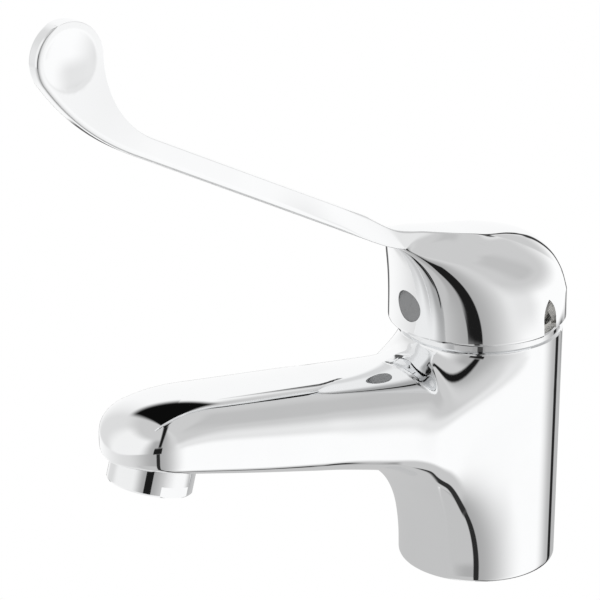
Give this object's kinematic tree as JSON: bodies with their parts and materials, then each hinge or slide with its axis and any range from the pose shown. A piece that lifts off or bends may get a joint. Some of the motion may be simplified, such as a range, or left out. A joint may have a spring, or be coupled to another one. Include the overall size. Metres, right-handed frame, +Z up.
{
  "type": "elbow lever basin tap",
  "caption": "Deck-mounted basin mixer tap with a tapered column, a rising cast spout with an aerator, and a long elbow lever with a dished paddle on a tilting, turning cap.",
  "frame": {"origin": "centre of the column's foot on the deck plane", "axes": "+Z up along the cartridge axis, -Y forward along the spout and the lever, +X to the tap's left"},
  "size_m": [0.0536, 0.1813, 0.1938],
  "materials": {
    "chrome_cast": "polished",
    "chrome_trim": "polished",
    "rubber_seal": "matte",
    "insert_plastic": "matte",
    "cartridge_plastic": "matte",
    "carrier_plastic": "matte",
    "ceramic": "ground",
    "brass_bare": "machined",
    "steel_small": "machined",
    "plug_plastic": "matte"
  },
  "bodies": {
    "tap": {"body": "chrome_cast", "base_gasket": "rubber_seal", "aerator_housing": "chrome_trim", "aerator_insert": "insert_plastic", "aerator_screen": "insert_plastic", "aerator_washer": "rubber_seal", "cartridge_base": "cartridge_plastic", "port_seals": "rubber_seal", "cartridge_housing": "cartridge_plastic", "fixed_disc": "ceramic", "retaining_nut": "brass_bare", "trim_ring": "chrome_trim"},
    "turret": {"rotor": "cartridge_plastic", "rotor_seal": "rubber_seal", "spindle_pin": "steel_small"},
    "lever": {"lever_handle": "chrome_cast", "spindle": "brass_bare", "grub_screw": "steel_small", "indicator_plug": "plug_plastic"},
    "disc": {"moving_disc": "ceramic", "disc_carrier": "carrier_plastic"}
  },
  "joints": [
    {"name": "lever_swing", "type": "hinge", "parent": "tap", "child": "turret", "pos_m": [0, 0, 0.0715], "axis": [0, 0, 1], "range_deg": [-50, 50]},
    {"name": "lever_lift", "type": "hinge", "parent": "turret", "child": "lever", "pos_m": [0, 0, 0.0715], "axis": [-1, 0, 0], "range_deg": [0, 20]},
    {"name": "disc_slide", "type": "slide", "parent": "turret", "child": "disc", "axis": [0, -1, 0], "range_m": [0, 0.0042]}
  ],
  "couplings": [
    {"joint": "disc_slide", "follows": "lever_lift", "m_per_rad": 0.01178}
  ]
}
